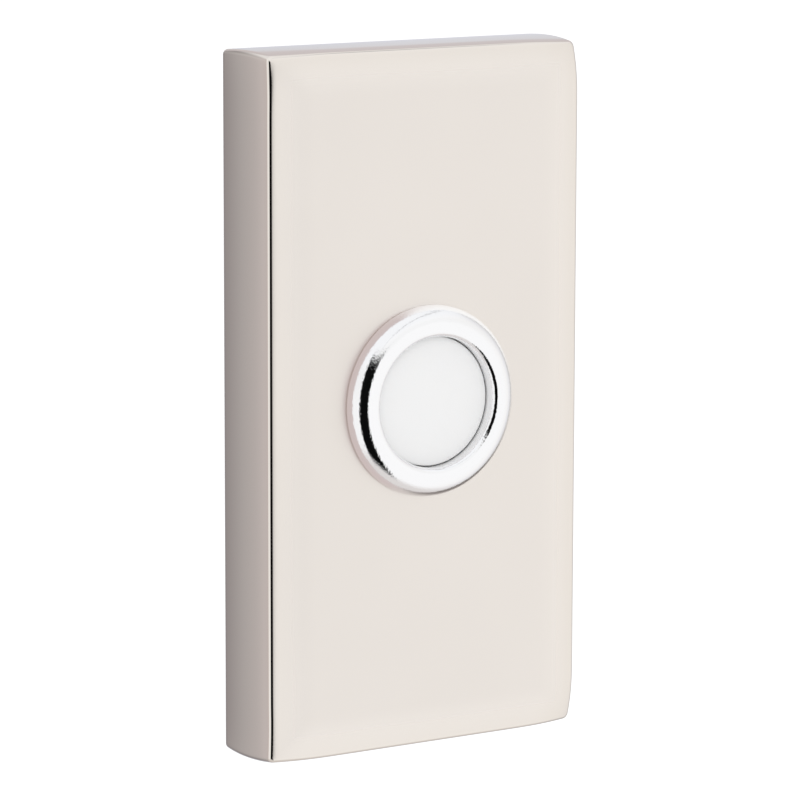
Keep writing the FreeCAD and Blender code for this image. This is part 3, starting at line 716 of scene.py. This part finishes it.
# Studio
# Light by direction, seen only by metal: turn is 0 straight in front of the part and grows towards
# -X, rise is 0 at the horizon. It is worked back from what ring and plate mirror in the
# photograph's view. From in front and the right the whole face mirrors the dark gap.
world = bpy.data.worlds.new("studio")
bpy.context.scene.world = world
world.use_nodes = True
tree = world.node_tree
tree.nodes.clear()
start = Link(tree)
way = start.node("TexCoord", out=0)
split = start.node("SeparateXYZ", values={"Vector": way})
x_way = split
y_way = Link(tree, split.socket.node.outputs[1])
z_way = Link(tree, split.socket.node.outputs[2])
DEGREES = 180 / math.pi
turn = start.maths("ARCTAN2", -x_way, -y_way) * DEGREES
rise = start.maths("ARCSINE", z_way) * DEGREES
CARDS = (
    (-180, (0.31, 0.29, 0.31)),
    (-165, (0.52, 0.53, 0.58)),
    (-147, (0.72, 0.73, 0.79)),
    (-130, (0.60, 0.59, 0.60)),
    (-115, (0.46, 0.45, 0.44)),
    (-98, (0.62, 0.61, 0.59)),
    (-78, (0.90, 0.89, 0.91)),
    (-58, (1.02, 1.01, 1.0)),
    (-33, (1.055, 1.055, 1.06)),
    (45, (1.02, 1.02, 1.02)),
    (95, (1.0, 1.0, 1.0)),
    (105, (0.90, 0.89, 0.89)),
    (108, (0.67, 0.59, 0.58)),
    (135, (0.62, 0.58, 0.59)),
    (150, (0.48, 0.46, 0.47)),
    (163, (0.33, 0.31, 0.32)),
    (180, (0.31, 0.29, 0.31)),
)
stops = [((angle + 180) / 360, colour) for angle, colour in CARDS]
cards = start.node("ValToRGB", {"stops": stops}, {0: turn * (1 / 360) + 0.5})


def band(link, opens, closes):
    """1 between two soft limits, each given as the angles where its change starts and ends."""
    return link.step(*opens) * (1 - link.step(*closes))


def cover_with(under, amount, colour):
    """The light seen in one direction, with a share of it taken over by another colour."""
    return start.node("Mix", {"data_type": "RGBA"}, {0: amount, 6: under, 7: (*colour, 1)}, out=2)


# The ceiling, a faint belt, a shelf of light behind on the right and the ends of the cards below
CEILING = (24, 45)
BELT = ((0, 12), (20, 34))
SHELF_TURN = (-110, -90)
SHELF_RISE = ((10, 15), (40, 50))
CARD_ENDS = (-66, -38)
shelf = (1 - turn.step(*SHELF_TURN)) * band(rise, *SHELF_RISE)
lit = cover_with(cards, rise.step(*CEILING) * 0.85, (1.01, 1.02, 1.04))
lit = cover_with(lit, band(rise, *BELT) * 0.2, (0.85, 0.85, 0.85))
lit = cover_with(lit, shelf, (0.68, 0.64, 0.66))
lit = cover_with(lit, (1 - rise.step(*CARD_ENDS)) * 0.8, (0.72, 0.68, 0.66))

# A thin crease that sinks towards the left, the dark gap where the photographer stands and a seam
# between two cards
CREASE_RISE = 57
CREASE_SINKS = ((-25, 6, 12), (2, 18, 14))
CREASE_WIDTH = (0.6, 2.0)
CREASE_TURN = ((-100, -80), (14, 20))
GAP_TURN = ((-9, -3), (48, 52))
GAP_BOTTOM = (-64, -46)
GAP_TOP = (10, 20)
GAP_SLOPE = 0.5
SEAM_TURN = ((106, 106.8), (107.6, 108.4))
SEAM_TOP = (20, 30)
crease = CREASE_RISE
for sink_from, sink_to, depth in CREASE_SINKS:
    crease = crease - turn.step(sink_from, sink_to) * depth
crease = (1 - abs(rise - crease).step(*CREASE_WIDTH)) * band(turn, *CREASE_TURN)
gap = band(turn, *GAP_TURN) * rise.step(*GAP_BOTTOM)
gap = gap * (1 - (rise - turn * GAP_SLOPE).step(*GAP_TOP))
seam = band(turn, *SEAM_TURN) * (1 - rise.step(*SEAM_TOP))
lit = cover_with(lit, crease * 0.8, (0.35, 0.35, 0.36))
lit = cover_with(lit, gap, (0.004, 0.004, 0.004))
lit = cover_with(lit, seam * 0.8, (0.03, 0.03, 0.03))

# What light meets that metal has mirrored twice, and the plain level that everything else gets
AGAIN_TURN = (-30, -16)
BRIGHT_TURN = (-30, -24)
BRIGHT_RISE = (-5, 6)
DARK_TURN = (-50, -36)
DARK_RISE = (-30, -12)
PLAIN_LEVEL = (0.78, 0.78, 0.78)
bright = (1 - turn.step(*BRIGHT_TURN)) * rise.step(*BRIGHT_RISE)
dark = (1 - rise.step(*DARK_RISE)) * (1 - turn.step(*DARK_TURN))
again = tint(start, turn.step(*AGAIN_TURN), (1.05, 1.05, 1.05), (0.80, 0.72, 0.74))
again = cover_with(again, bright, (1.30, 1.36, 1.42))
again = cover_with(again, dark, (0.12, 0.10, 0.10))
to_camera = start.node("LightPath")
rays = to_camera.socket.node.outputs
glossy = Link(tree, rays["Is Glossy Ray"])
bounces = Link(tree, rays["Glossy Depth"])
scattered = Link(tree, rays["Diffuse Depth"])
lit = start.node("Mix", {"data_type": "RGBA"}, {0: bounces.step(1.2, 1.8), 6: lit, 7: again}, out=2)
lit = cover_with(lit, (scattered + 1 - glossy).step(0.2, 0.8), PLAIN_LEVEL)
lit = cover_with(lit, to_camera, (1, 1, 1))
background = start.node("Background", values={"Color": lit, "Strength": 1.0})
output = tree.nodes.new("ShaderNodeOutputWorld")
tree.links.new(background.socket, output.inputs["Surface"])

# Key light
# One large soft lamp in front, to the left of the part and a little above it.
KEY_PLACE = Vector((-0.5, -1.1, 0.4))
KEY_SIZE = 0.9
KEY_WATTS = 5
key = bpy.data.lights.new("key", "AREA")
key.shape = "RECTANGLE"
key.size = KEY_SIZE
key.size_y = KEY_SIZE
key.energy = KEY_WATTS
key_light = bpy.data.objects.new("key", key)
bpy.context.scene.collection.objects.link(key_light)
key_light.location = KEY_PLACE
key_light.rotation_euler = (-KEY_PLACE).to_track_quat("-Z", "Y").to_euler()
key_light.visible_glossy = False

# Camera
# It stands half a metre off, to the left of the part and a little above it.
YAW = math.radians(32.54)
PITCH = math.radians(9.49)
ROLL = math.radians(0.14)
DISTANCE = 0.5005
AIM_RIGHT = 2.47 * MM
AIM_UP = -1.44 * MM
FOCAL_LENGTH = 195.1
forward = Vector((math.sin(YAW) * math.cos(PITCH), math.cos(YAW) * math.cos(PITCH),
                  -math.sin(PITCH)))
level_right = Vector((math.cos(YAW), -math.sin(YAW), 0))
level_up = level_right.cross(forward)
right = level_right * math.cos(ROLL) + level_up * math.sin(ROLL)
up = level_up * math.cos(ROLL) - level_right * math.sin(ROLL)
camera = bpy.data.objects.new("camera", bpy.data.cameras.new("camera"))
bpy.context.scene.collection.objects.link(camera)
camera.data.sensor_width = 36
camera.data.lens = FOCAL_LENGTH
camera.data.clip_start = 0.01
stand = -forward * DISTANCE + right * AIM_RIGHT + up * AIM_UP
camera.matrix_world = (Matrix.Translation(stand)
                       @ Matrix((right, up, -forward)).transposed().to_4x4())
bpy.context.scene.camera = camera
bpy.context.scene.view_settings.view_transform = "Standard"
